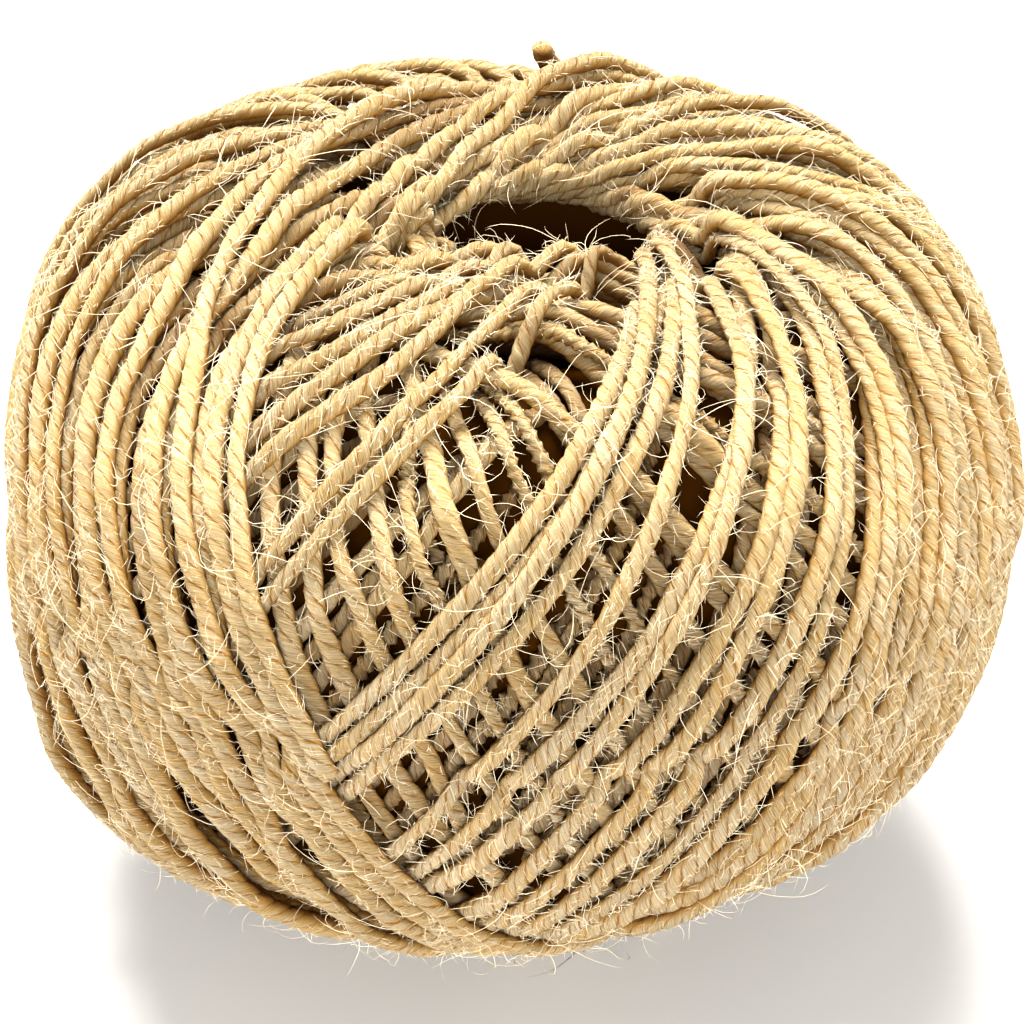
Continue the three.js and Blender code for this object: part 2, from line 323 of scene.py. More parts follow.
def resting_height(run, azimuth):
    """The least lift of the twine's middle: over each place across it, the map's height plus
    the height of a round section there, and of these the greatest."""
    found = heights[cells(run, azimuth, ACROSS * TWINE_RADIUS)]
    return (found + TWINE_RADIUS * FLATTENED * np.sqrt(1 - ACROSS ** 2)).max(axis=1)


def pull_tight(run, azimuth, resting, start):
    """Each point moves to the middle of its neighbours, less the rise of a straight line over
    the curved ball, never below what it rests on and, round the hole, never far above it."""
    points = on_ball(run, azimuth)
    outward = on_ball(run, azimuth, 1.0) - points
    rise = -(np.gradient(np.gradient(points, axis=0), axis=0) * outward).sum(axis=1) / 2
    most = resting + np.where(np.abs(run) > ROUND_HOLE, CLOSE_BRIDGE, FREE_BRIDGE)
    lift = resting.copy()
    lift[0] = start
    for _ in range(TIGHTENING):
        middle = (lift[:-2] + lift[2:]) / 2 - rise[1:-1]
        lift[1:-1] = np.clip(middle, resting[1:-1], most[1:-1])
    return lift


def press_in(run, azimuth, lift):
    """Adds a path, at four times its points, to the map: at each place across it, its middle
    plus its section's height."""
    fine = np.linspace(0, len(run) - 1, 4 * len(run))
    whole = np.arange(len(run))
    run, azimuth, lift = [np.interp(fine, whole, values) for values in (run, azimuth, lift)]
    top = lift[:, None] + TWINE_RADIUS * FLATTENED * np.sqrt(1 - PRESSED ** 2)
    np.maximum.at(heights, cells(run, azimuth, PRESSED * TWINE_RADIUS), top)


# %% [markdown]
# ## The ball keeps its size
# Each turn presses the ones below it into the ball. After each pass the map is averaged over a
# few millimetres, with the high places counting most, and wherever that average stands above the
# level that the outline allows, everything there, the map and all the twine laid so far, sinks
# by the difference. The average round the ball is a Fourier sum, and along the run a matrix.

# %% Averaging and sinking
BLUR = 3.6  # mm
HIGH_PLACES = 1.4  # for each mm, how much more a place counts
LEVEL = 0.1  # lift of the average surface when the ball is done
run_centres = RUN_LIMIT * ((np.arange(RUN_CELLS) + 0.5) / RUN_CELLS * 2 - 1)
place_along = np.where(run_centres < 0, run_centres * TOP_LENGTH, run_centres * LOW_LENGTH)
blur_along = np.exp(-((place_along[:, None] - place_along) / BLUR) ** 2 / 2)
blur_along /= blur_along.sum(axis=1)[:, None]
blur_angle = BLUR / radius_at(run_centres)
waves = np.arange(ROUND_CELLS // 2 + 1)
blur_round = np.exp(-(waves * blur_angle[:, None]) ** 2 / 2)


def averaged(values):
    """The map's running mean: each wave round the ball is damped by a bell curve of its number
    times the blur's angle, and the rows are mixed by a bell curve of their distance."""
    round_ball = np.fft.irfft(np.fft.rfft(values, axis=1) * blur_round, ROUND_CELLS, axis=1)
    return blur_along @ round_ball


def surface_level(values):
    """The average height with the high places counting most: the logarithm of the mean of the
    exponentials of the heights."""
    return np.log(np.maximum(averaged(np.exp(HIGH_PLACES * values)), 1e-6)) / HIGH_PLACES


def read_map(values, run, azimuth):
    """A map's values at places, each from its four nearest cells by their distances."""
    row = np.clip((run / RUN_LIMIT + 1) / 2 * RUN_CELLS - 0.5, 0, RUN_CELLS - 1.001)
    column = (azimuth / 360 * ROUND_CELLS - 0.5) % ROUND_CELLS
    low, left = row.astype(int), column.astype(int) % ROUND_CELLS
    right = (left + 1) % ROUND_CELLS
    up, over = row - low, column - np.floor(column)
    here = values[low, left] * (1 - over) + values[low, right] * over
    beyond = values[low + 1, left] * (1 - over) + values[low + 1, right] * over
    return here * (1 - up) + beyond * up


# %% [markdown]
# ## Wind the ball
# Now the table is wound, one pass after another. A pass starts where the last one ended, so the
# whole ball is one length of twine. The last few points of each pass go into the map only once
# the next pass is laid, or the next one would climb onto them.

# %% Wind the ball
PASS_WAYS = 5  # ways past the rim that are tried
NEAR_RIM = 0.6  # run beyond which their heights are compared
JOINT = 8  # points that the next pass may not rest on
laid = []  # one array of run, azimuth and lift for each pass


def wind(first, pitch, turns, lean, reach, straying):
    """Winds one stretch: each pass takes the reach with the lowest mean height near the rim, is
    pulled tight and pressed in, and the ball sinks back to its size."""
    belly, end_lift, waiting, mine = first, None, None, []
    for number in range(2 * turns):
        low = number % 2 == 0
        best = None
        for share in winder.permutation(PASS_WAYS) / (PASS_WAYS - 1):
            trial_reach = reach[0] + (reach[1] - reach[0]) * share
            run, azimuth = half_turn(belly, pitch, lean, trial_reach, low)
            near_rim = np.abs(run) > NEAR_RIM
            cost = resting_height(run, azimuth)[near_rim].mean()
            if best is None or cost < best[0]:
                best = (cost, run, azimuth)
        run, azimuth = stray(best[1], best[2], straying)
        resting = resting_height(run, azimuth)
        lift = pull_tight(run, azimuth, resting, resting[0] if end_lift is None else end_lift)
        if waiting is not None:
            press_in(*waiting)
        press_in(run[:-JOINT], azimuth[:-JOINT], lift[:-JOINT])
        waiting = [run[-JOINT:], azimuth[-JOINT:], lift[-JOINT:]]
        laid.append(np.stack([run, azimuth, lift]))
        sink = np.maximum(surface_level(heights) - LEVEL, 0)
        heights[:] -= sink
        for path in laid:
            path[2] -= read_map(sink, path[0], path[1])
        waiting[2] = laid[-1][2][-JOINT:]
        end_lift = laid[-1][2][-1]
        belly = azimuth[-1] % 360
        mine.append(len(laid) - 1)
    press_in(*waiting)
    return mine


stretches = []
for name, *how in WINDING:
    stretches.append((name, wind(*how)))
    print(name, "wound; map from", heights.min().round(1), "to", heights.max().round(1))
print("twine wound:", round(sum(path.shape[1] for path in laid) * SAMPLE * MM, 1), "m")

# %% [markdown]
# ## What shows
# Most of the twine is inside. A point of a path is kept if the ball is open to the outside close
# to it, down to its own height: the map's lowest height within a short reach must lie below its
# middle. Short hidden lengths between two kept ones are kept too, so that the twine stays whole,
# and each kept length runs on a little way under its neighbours.

# %% Keep what shows
OPEN_REACH = 1.2  # mm round a point in which the ball must be open
DEEPEST = -4.7  # lift below which nothing is seen
HIDDEN_LENGTH, SHOWN_LENGTH = 14, 6  # points: shorter hidden ones stay, shown ones go
RUN_ON = 4  # points
SHORTEST_KEPT = 12  # points
SEEN_SHARE = 0.3  # of the radius, above the middle
SOFTENING = np.array([1, 3, 5, 6, 5, 3, 1]) / 24  # weights of the neighbours


def lowest_near(values):
    """The least height within a reach of each cell: over copies rolled round the ball, as far
    as the reach goes in each row, and then along the run."""
    least = values.copy()
    cells_round = OPEN_REACH / (np.radians(360 / ROUND_CELLS) * radius_at(run_centres))
    for shift in range(1, int(cells_round.max()) + 1):
        wide = (cells_round >= shift)[:, None]
        both = np.minimum(np.roll(least, 1, axis=1), np.roll(least, -1, axis=1))
        least = np.where(wide, np.minimum(least, both), least)
    for _ in range(int(OPEN_REACH / (TOP_LENGTH + LOW_LENGTH) / RUN_LIMIT * RUN_CELLS)):
        least = np.minimum(least, np.minimum(np.roll(least, 1, axis=0), np.roll(least, -1, axis=0)))
    return least


def close_and_open(shown):
    """Joins kept lengths that lie close together, then drops the short ones."""
    def widened(mask, by):
        """A mask whose true lengths grow by a number of points at both ends."""
        return np.convolve(mask, np.ones(2 * by + 1), mode="same") > 0.5

    joined = ~widened(~widened(shown, HIDDEN_LENGTH // 2), HIDDEN_LENGTH // 2)
    kept = widened(~widened(~joined, SHOWN_LENGTH // 2), SHOWN_LENGTH // 2)
    return widened(kept, RUN_ON)


def lengths_of(mask):
    """The first and last index of each true length of a mask."""
    edges = np.flatnonzero(np.diff(np.concatenate([[0], mask.astype(int), [0]])))
    return edges.reshape(-1, 2)


open_to = lowest_near(heights)
kept_paths = []  # stretch number and points in mm with their lift
for number, (_, passes) in enumerate(stretches):
    run, azimuth, lift = np.concatenate([laid[index] for index in passes], axis=1)
    lift = np.convolve(np.pad(lift, len(SOFTENING) // 2, mode="edge"), SOFTENING, mode="valid")
    shown = (read_map(open_to, run, azimuth) < lift + SEEN_SHARE * TWINE_RADIUS) & (lift > DEEPEST)
    for start, stop in lengths_of(close_and_open(shown)):
        if stop - start > SHORTEST_KEPT:
            path = np.stack([run, azimuth, lift], axis=1)[start:stop]
            kept_paths.append((number, start, path))
shown_length = sum(len(path) for _, _, path in kept_paths) * SAMPLE
print(len(kept_paths), "lengths of twine show,", round(shown_length * MM, 1), "m in all")

# %% [markdown]
# ## Three plies laid into a twine
# The twine is three plies twisted the same way as the middle stroke of an S. Its section is
# three lobes, and the section turns once in about five millimetres, so the lobes become the
# plies. The columns of the surface turn with the plies, so the first map coordinate tells where
# a point lies round its ply and the second one how far along the twine it is. Twine that shows
# only through gaps has its rings further apart.

# %% The surface of a twine
PLIES, SIDES = 3, 9  # three columns on each ply
LAY = 4.8  # mm in which the plies go round once
LAY_SHARE = (0.85, 1.35)  # from the tightest to the slackest length
RING_STEP = 0.8  # mm between rings
HIDDEN_STEP = 1.0  # mm, where it shows only through gaps
HIDDEN_STRETCHES = ("filling", "deep_turns")
LOWEST = 0.03  # mm above the floor, below which no twine is drawn
CROWN_SHARE, CROWN_POWER = 0.13, 0.7  # the plies' height and roundness
THICK_AND_THIN = [(9.0, 0.08), (3.7, 0.06), (1.3, 0.04)]  # spacing in mm and share of the radius
grower = np.random.default_rng(21)


def ply_profile(angle):
    """The section's radius: 1 on the crown of each ply and less in the grooves between them."""
    crown = np.abs(np.sin(PLIES * angle / 2)) ** CROWN_POWER
    return 1 - CROWN_SHARE + CROWN_SHARE * crown


def even_rings(points, step):
    """Points of a path at even lengths, and the lengths themselves."""
    length = np.concatenate([[0], np.cumsum(np.linalg.norm(np.diff(points, axis=0), axis=1))])
    even = np.linspace(0, length[-1], max(int(length[-1] / step), 3) + 1)
    return np.stack([np.interp(even, length, column) for column in points.T], axis=1), even


def twine_rings(points, outward, radius, start=0.0, step=RING_STEP):
    """The rings of one length of twine, how far along it each lies, and how far each point faces
    from the outside, 0 to 1. A ring lies across the path, turned back once round in each lay."""
    both, length = even_rings(np.concatenate([points, outward], axis=1), step)
    centre, outward = both[:, :3], both[:, 3:]
    along = np.gradient(centre, axis=0)
    along /= np.linalg.norm(along, axis=1)[:, None]
    outward = outward - (outward * along).sum(axis=1)[:, None] * along
    outward /= np.linalg.norm(outward, axis=1)[:, None]
    side = np.cross(along, outward)
    column = np.arange(SIDES) / SIDES * 2 * np.pi
    turned_by = start - 2 * np.pi * length / (LAY * grower.uniform(*LAY_SHARE))
    angle = turned_by[:, None] + column
    phases = grower.uniform(0, 2 * np.pi, len(THICK_AND_THIN))
    thickness = np.full(len(length), radius)
    for (spacing, amount), phase in zip(THICK_AND_THIN, phases):
        thickness = thickness * (1 + amount * np.sin(length / spacing + phase))
    away_from = thickness[:, None] * ply_profile(column)
    rings = centre[:, None] + away_from[..., None] * (
        np.cos(angle)[..., None] * outward[:, None] + np.sin(angle)[..., None] * side[:, None])
    rings[..., 2] = np.maximum(rings[..., 2], LOWEST)
    return rings, length, (1 - np.cos(angle)) / 2


def new_piece(name, points, corners, sizes):
    """A smooth piece from its points in mm, the points of its faces' corners one face after
    another, and each face's number of corners."""
    data = bpy.data.meshes.new(name)
    data.vertices.add(len(points))
    data.vertices.foreach_set("co", (points * MM).ravel().astype(np.float32))
    data.loops.add(len(corners))
    data.loops.foreach_set("vertex_index", corners.astype(np.int32))
    data.polygons.add(len(sizes))
    data.polygons.foreach_set("loop_start", (np.cumsum(sizes) - sizes).astype(np.int32))
    data.update(calc_edges=True)
    data.shade_smooth()
    piece = bpy.data.objects.new(name, data)
    bpy.context.scene.collection.objects.link(piece)
    return piece


def triangles_in(piece):
    """The number of triangles: the faces' corners less two for each face."""
    return len(piece.data.loops) - 2 * len(piece.data.polygons)


def store(piece, label, values):
    """Stores a number with each of the piece's points."""
    layer = piece.data.attributes.new(label, "FLOAT", "POINT")
    layer.data.foreach_set("value", values.astype(np.float32))


class Strands:
    """Gathers lengths of twine into one piece, with the map coordinates and the facts that the
    material reads: the tone, how deep it lies and how far each point faces from the outside."""

    def __init__(self):
        self.rings, self.along, self.counts = [], [], []
        self.flank, self.tone, self.depth = [], [], []

    def add(self, rings, length, flank, tone, depth):
        """Adds one length of twine, with its depths at even places along it."""
        self.rings.append(rings)
        self.flank.append(flank)
        self.along.append(length)
        self.counts.append(len(rings))
        self.tone.append(np.full(len(rings), tone))
        share, place = np.linspace(0, 1, len(depth)), np.linspace(0, 1, len(rings))
        self.depth.append(np.interp(place, share, depth))

    def mesh(self, name):
        """The piece: rings joined by four-sided faces, and a cap on each end."""
        rings = np.concatenate(self.rings)
        count = len(rings)
        last = np.cumsum(self.counts) - 1
        first = last - np.array(self.counts) + 1
        joined = np.setdiff1d(np.arange(count), last)
        column = np.arange(SIDES)
        here = joined[:, None] * SIDES
        right = (column + 1) % SIDES
        beyond = here + SIDES
        walls = np.stack([here + column, here + right, beyond + right, beyond + column], axis=-1)
        caps = np.concatenate([first[:, None] * SIDES + column[::-1], last[:, None] * SIDES + column])
        corners = np.concatenate([walls.ravel(), caps.ravel()])
        sizes = np.concatenate([np.full(walls.size // 4, 4), np.full(len(caps), SIDES)])
        piece = new_piece(name, rings.reshape(-1, 3), corners, sizes)
        wall_columns = (column[:, None] + np.array([0, 1, 1, 0])).ravel()
        all_columns = [np.tile(wall_columns, len(joined)), np.tile(column, len(caps))]
        around = np.concatenate(all_columns) / SIDES
        along_cm = np.concatenate(self.along)[corners // SIDES] / 10
        place = np.stack([around, along_cm], axis=1).ravel().astype(np.float32)
        piece.data.uv_layers.new(name="ply").data.foreach_set("uv", place)
        store(piece, "tone", np.repeat(np.concatenate(self.tone), SIDES))
        store(piece, "depth", np.repeat(np.concatenate(self.depth), SIDES))
        store(piece, "flank", np.concatenate(self.flank).ravel())
        return piece


def join_body(piece, slot, *nodes):
    """Says what a piece rides on and which CAD nodes it replaces; its slot is not used."""
    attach(piece, "root")
    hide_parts(*nodes)


# %% [markdown]
# ## The turns as surfaces
# Each kept length is a twine of its own thickness and tone, as spun flax is never quite even.
# The lengths of one stretch in one third of the ball are one piece.

# %% The turns as surfaces
THICKNESS = (0.88, 1.14)  # shares of the radius
START_TURN = 0.9  # radians, for each point before the start
turn_pieces = []
groups = {}
shown_samples = []  # where fibres may grow: point, outward, along and depth
for number, start, path in kept_paths:
    run, azimuth, lift = path.T
    points = on_ball(run, azimuth, lift)
    points[:, 2] = np.maximum(points[:, 2], TWINE_RADIUS)
    outward = on_ball(run, azimuth, lift + 1) - on_ball(run, azimuth, lift)
    radius = TWINE_RADIUS * grower.uniform(*THICKNESS)
    name, _ = stretches[number]
    step = HIDDEN_STEP if name in HIDDEN_STRETCHES else RING_STEP
    rings, length, flank = twine_rings(points, outward, radius, start * START_TURN, step)
    sector = int((np.median(azimuth) % 360) // 120)
    group = groups.setdefault((name, sector), Strands())
    group.add(rings, length + start * SAMPLE, flank, grower.uniform(0, 1), -lift)
    along = np.gradient(points, axis=0)
    shown_samples.append(np.concatenate([points, outward, along, -lift[:, None]], axis=1))
for (name, sector), group in groups.items():
    piece = group.mesh(f"{name}_{sector + 1}")
    join_body(piece, "twine", "wound_ball")
    turn_pieces.append(piece)
    print(piece.name, triangles_in(piece), "triangles")

# %% [markdown]
# ## The heart of the ball
# Under the turns that show there are only more turns, packed close in the dark. A plain ring of
# the same section, a few millimetres smaller all round, stands in for them behind the gaps, and its
# near-black brown is painted shade.

# %% The heart
HEART_MIDDLE = np.array([26.0, 31.0])  # mm out and up
HEART_SHARE = np.array([0.77, 0.85])  # about that middle, out and up
HEART_THINNING = 8  # every eighth point of the outline is enough
HEART_COLUMNS = 60


def ring_surface(name, ring, columns):
    """A closed ring: a section in radius and height, carried round the hole's shifted middle."""
    angle = np.arange(columns) / columns * 2 * np.pi
    shift = np.clip((BELLY_RADIUS - ring[:, 0]) / HOLE_SHIFT_REACH, 0, 1)
    x = shift * HOLE_SHIFT[0] + ring[:, 0] * np.sin(angle)[:, None] - MIDDLE[0]
    y = shift * HOLE_SHIFT[1] - ring[:, 0] * np.cos(angle)[:, None] - MIDDLE[1]
    points = np.stack([x, y, np.broadcast_to(ring[:, 1], x.shape)], axis=-1).reshape(-1, 3)
    count = len(ring)
    across, along = np.meshgrid(np.arange(columns), np.arange(count), indexing="ij")
    next_across, next_along = (across + 1) % columns, (along + 1) % count
    faces = np.stack([next_across * count + along, next_across * count + next_along,
                      across * count + next_along, across * count + along], axis=-1)
    return new_piece(name, points, faces.ravel(), np.full(faces.size // 4, 4))


heart_ring = HEART_MIDDLE + (section[::HEART_THINNING] - HEART_MIDDLE) * HEART_SHARE
heart = ring_surface("heart", heart_ring, HEART_COLUMNS)
join_body(heart, "twine", "wound_ball")
print("heart", triangles_in(heart), "triangles")

# %% [markdown]
# ## The wall of the hole
# Every turn passes the hole twice, so its wall is turns too: short straight lengths side on to
# it, one above the other, each turned on from the last by the golden angle.

# %% The wall's turns
WALL_TURNS = 84
WALL_LOW, WALL_HIGH = 5.0, 50.0  # mm
WALL_HALF = 10.0  # mm of each length on either side of its middle
WALL_POINTS = 19
WALL_SINK, WALL_UNEVEN = 1.4, 0.8  # mm behind the wall's surface, and up to that more
WALL_SLANT, WALL_SAG = 0.25, 0.02  # rise for each mm along, and fall for each square mm
WALL_DEPTH = 6.0  # mm deep, for the shade
GOLDEN_ANGLE = 137.508
hole_wall = np.concatenate([section[index_of["under rim"]:], section[:index_of["rim"] + 1]])
wall_group = Strands()
for number in range(WALL_TURNS):
    up = WALL_LOW + (WALL_HIGH - WALL_LOW) * (number + 0.5) / WALL_TURNS
    azimuth = np.array(number * GOLDEN_ANGLE)
    near = np.interp(up, hole_wall[:, 1], hole_wall[:, 0]) + WALL_SINK
    near += grower.uniform(0, WALL_UNEVEN)
    toward = np.array([np.sin(np.radians(azimuth)), -np.cos(np.radians(azimuth))])
    across = np.array([toward[1], -toward[0]])
    along = np.linspace(-WALL_HALF, WALL_HALF, WALL_POINTS)
    shift = (BELLY_RADIUS - near) / HOLE_SHIFT_REACH * HOLE_SHIFT - MIDDLE
    flat = shift + near * toward + along[:, None] * across
    rise = up + grower.uniform(-WALL_SLANT, WALL_SLANT) * along - WALL_SAG * along ** 2
    lip = lean_over(smooth_step(np.array(up), LIP_FOOT * BALL_HEIGHT, RIM_HEIGHT), azimuth)
    points = np.concatenate([flat, rise[:, None]], axis=1) + lip
    inward = np.broadcast_to(np.append(-toward, 0.0), points.shape)
    rings, length, flank = twine_rings(points, inward, TWINE_RADIUS, number)
    wall_group.add(rings, length, flank, grower.uniform(0, 1), np.full(2, WALL_DEPTH))
wall_piece = wall_group.mesh("hole_turns")
join_body(wall_piece, "twine", "wound_ball")
turn_pieces.append(wall_piece)
print("hole_turns", triangles_in(wall_piece), "triangles")

# %% [markdown]
# ## The loose end
# The twine's free end leaves the turns on the back of the ball, lies over them and ends just
# proud of the shoulder, where its cut tip shows against the light. Its route is the model's own.

# %% The loose end
LOOSE_ROUTE = [
    (23.2, 37.6, 30.6), (21.6, 39.1, 33.2), (19.7, 40.1, 35.9), (17.9, 41.0, 38.3),
    (16.1, 41.6, 40.5), (14.3, 41.8, 42.8), (12.6, 42.3, 45.1), (11.1, 42.7, 47.5),
    (9.4, 42.2, 49.7), (7.9, 41.4, 51.8), (6.5, 40.4, 53.6), (5.4, 39.4, 55.6),
    (4.4, 38.1, 57.3), (3.6, 36.7, 59.0), (3.1, 35.1, 60.6), (2.7, 33.6, 62.3)]
TWINE_ACROSS, LOOSE_RADIUS = 1.8, 0.96  # mm, as the cord states it and as the plies are drawn
LOOSE_TONE = 0.7
ROUTE_STEPS = 8  # points on each span of the route
BALL_MIDDLE = np.array([0, 0, 30])  # mm; the outward direction points away from it
route = np.array(LOOSE_ROUTE)
open_route = np.concatenate([2 * route[:1] - route[1:2], route, 2 * route[-1:] - route[-2:-1]])
fine_route = smooth_loop(open_route, ROUTE_STEPS)[ROUTE_STEPS:ROUTE_STEPS * len(route) + 1]
loose_rings, loose_length, loose_flank = twine_rings(fine_route, fine_route - BALL_MIDDLE, LOOSE_RADIUS)
loose = Strands()
loose.add(loose_rings, loose_length, loose_flank, LOOSE_TONE, np.full(2, 0.0))
loose_end = loose.mesh("free_end")
join_body(loose_end, "loose_twine", "loose_end")
(fine_route * MM).tolist()

# %% [markdown]
# ## Loose fibres
# Flax is spun from fibres of many lengths, and some of their ends stand off the twine: stubble
# all along it, short and middling ones, and here and there a long one that curls away. Each grows
# from the twine in a few steps: its direction turns a little at each and is drawn back to the
# ball. Most are straight, because a spike of four triangles lets many more of them stand.

# %% Grow the fibres
FEWER_FROM, NONE_FROM = 0.7, 3.6  # mm deep: fibres on twine this deep are hidden
samples = np.concatenate(shown_samples)
samples = samples[samples[:, 9] < grower.uniform(FEWER_FROM, NONE_FROM, len(samples))]
SPREAD = 1.7  # radians round the twine, either way from the outside
ROOTED_AT = 0.85  # share of the twine's radius
SHORTER_POWER = 1.6  # a higher power makes more of them short
ALONG_SHARE, SIDE_SHARE = (0.3, 1.2), 0.6
AXIS_SCATTER, WAVER = 0.5, 0.06
DRAWN_BACK, DRAWN_MORE = 0.10, 0.12  # at the root, and how much more at the tip
TAPER = 0.6  # share of the radius
HAIR_KINDS = [  # name, number, steps, shortest, longest, radius in mm, curl, outward share
    ("stubble", 42000, 1, 0.4, 1.3, 0.028, 0.0, 0.5),
    ("short_fibres", 13000, 2, 0.8, 2.4, 0.023, 1.0, 0.65),
    ("middle_fibres", 5500, 4, 1.6, 4.8, 0.022, 2.0, 0.55),
    ("long_fibres", 1500, 8, 4.0, 10.0, 0.025, 3.2, 0.45)]


def unit(vectors):
    """The vectors with their length made 1."""
    return vectors / (np.linalg.norm(vectors, axis=-1, keepdims=True) + 1e-9)


def grow_fibres(count, steps, shortest, longest, radius, curl, outward_share):
    """Tapered three-sided fibres: their rings, as an array of fibres, rings, sides and axes, and
    their tips."""
    root = samples[grower.integers(0, len(samples), count)]
    point, outward, along = root[:, :3], unit(root[:, 3:6]), unit(root[:, 6:9])
    side = np.cross(along, outward)
    round_twine = grower.uniform(-SPREAD, SPREAD, count)[:, None]
    radial = np.cos(round_twine) * outward + np.sin(round_twine) * side
    centre = point + radial * TWINE_RADIUS * ROOTED_AT
    length = shortest + (longest - shortest) * grower.uniform(0, 1, count)[:, None] ** SHORTER_POWER
    way = grower.choice([-1.0, 1.0], count)[:, None]
    direction = unit(way * along * grower.uniform(*ALONG_SHARE, (count, 1)) + radial * outward_share
                     + side * grower.normal(0, SIDE_SHARE, (count, 1)))
    axis = unit(outward + AXIS_SCATTER * grower.normal(0, 1, (count, 3)))
    turn = grower.normal(0, curl, (count, 1)) / steps
    centres = [centre]
    for step in range(steps):
        centre = centre + direction * length / steps
        centres.append(centre)
        back = -outward * (DRAWN_BACK + DRAWN_MORE * step / steps)
        direction = unit(direction + np.cross(axis, direction) * turn + back
                         + grower.normal(0, WAVER, (count, 3)))
    centres = np.stack(centres, axis=1)
    thin = radius * (1 - TAPER * (np.arange(steps) / steps) ** 2)
    flow = unit(np.gradient(centres, axis=1))[:, :-1]
    first = unit(np.cross(flow, outward[:, None] + 0.3))
    second = np.cross(flow, first)
    angle = np.arange(3) / 3 * 2 * np.pi
    rings = centres[:, :-1, None] + thin[:, None, None] * (
        np.cos(angle)[:, None] * first[:, :, None] + np.sin(angle)[:, None] * second[:, :, None])
    return rings, centres[:, -1]


def fibre_mesh(name, rings, tips):
    """One closed mesh of many fibres: a face on the root, faces between rings and a pointed end."""
    count, levels, sides, _ = rings.shape
    points = np.concatenate([rings.reshape(count, -1, 3), tips[:, None]], axis=1)
    base = (np.arange(count) * points.shape[1])[:, None, None]
    level = (np.arange(levels - 1) * sides)[None, :, None]
    column = np.arange(sides)
    right = (column + 1) % sides
    here, up = base + level, base + level + sides
    walls = np.stack(np.broadcast_arrays(here + column, here + right, up + right, up + column), axis=-1)
    last = base + (levels - 1) * sides
    ends = np.stack(np.broadcast_arrays(last + column, last + right, last + sides), axis=-1)
    roots = base[:, 0] + column[::-1]
    corners = np.concatenate([walls.ravel(), ends.ravel(), roots.ravel()])
    sizes = np.repeat([4, 3, sides], [walls.size // 4, ends.size // 3, count])
    return new_piece(name, points.reshape(-1, 3), corners, sizes)


hair_pieces = []
for name, *how in HAIR_KINDS:
    rings, tips = grow_fibres(*how)
    rings[..., 2] = np.maximum(rings[..., 2], 2 * LOWEST)
    tips[:, 2] = np.maximum(tips[:, 2], LOWEST)
    piece = fibre_mesh(name, rings, tips)
    join_body(piece, "twine", "wound_ball")
    hair_pieces.append(piece)
    print(name, len(tips), "fibres,", triangles_in(piece), "triangles")

# %% [markdown]
# ## Shading as sums
# A material is a graph of nodes. These small classes let the graph be written as sums: each
# operator on a value adds the matching Math node, and one method adds any other node.

# %% Values and recipes
class Value:
    """One number that a material works out for each point of a surface."""

    def __init__(self, recipe, socket):
        self.recipe, self.socket = recipe, socket

    def maths(self, operation, *others):
        """A Math node with this value first; the operation's name says what it works out."""
        settings = {"operation": operation}
        inputs = dict(enumerate((self, *others)))
        return self.recipe.node("ShaderNodeMath", settings, inputs)

    def __add__(self, other):
        return self.maths("ADD", other)

    def __sub__(self, other):
        return self.maths("SUBTRACT", other)

    def __rsub__(self, other):
        return self.maths("MULTIPLY", -1.0) + other

    def __mul__(self, other):
        return self.maths("MULTIPLY", other)

    def __pow__(self, other):
        return self.maths("POWER", other)

    def __abs__(self):
        return self.maths("ABSOLUTE")

    __radd__, __rmul__ = __add__, __mul__

    def between(self, low, high):
        """0 at low and below, 1 at high and above, and a soft S between them."""
        settings = {"interpolation_type": "SMOOTHSTEP"}
        return self.recipe.node("ShaderNodeMapRange", settings, {0: self, 1: low, 2: high})


class Recipe:
    """A material under construction."""

    def __init__(self, name):
        self.material = bpy.data.materials.new(name)
        self.material.use_nodes = True
        self.tree = self.material.node_tree
        self.tree.nodes.clear()
        self.output = self.tree.nodes.new("ShaderNodeOutputMaterial")

    def node(self, kind, settings=None, inputs=None, output=0):
        """Adds a node: its settings first, then its sockets, which take numbers or values."""
        node = self.tree.nodes.new(kind)
        for name, setting in (settings or {}).items():
            setattr(node, name, setting)
        for key, given in (inputs or {}).items():
            if isinstance(given, Value):
                self.tree.links.new(given.socket, node.inputs[key])
            else:
                node.inputs[key].default_value = given
        return Value(self, node.outputs[output])

    def mixed(self, share, low, high):
        """A colour between two, by a share; the sockets are those of a Mix node set to colour."""
        inputs = {0: share, 6: low, 7: high}
        return self.node("ShaderNodeMix", {"data_type": "RGBA"}, inputs, output=2)

    def read(self, label):
        """A number stored with the surface's points."""
        return self.node("ShaderNodeAttribute", {"attribute_name": label}, output="Fac")

    def vector(self, x, y, z=0.0):
        """Three numbers as one vector."""
        return self.node("ShaderNodeCombineXYZ", None, {0: x, 1: y, 2: z})

    def part(self, vector, axis):
        """One of a vector's three numbers."""
        return self.node("ShaderNodeSeparateXYZ", None, {0: vector}, axis)

    def noise(self, place, scale, detail=2.0, roughness=0.5):
        """Soft random shades from 0 to 1 over a place."""
        inputs = {"Vector": place, "Scale": scale, "Detail": detail, "Roughness": roughness}
        return self.node("ShaderNodeTexNoise", None, inputs)

    def surface(self, **sockets):
        """The Principled shader with these sockets, as the material's surface."""
        named = {name.replace("_", " "): given for name, given in sockets.items()}
        shader = self.node("ShaderNodeBsdfPrincipled", None, named)
        self.tree.links.new(shader.socket, self.output.inputs["Surface"])
        return self.material
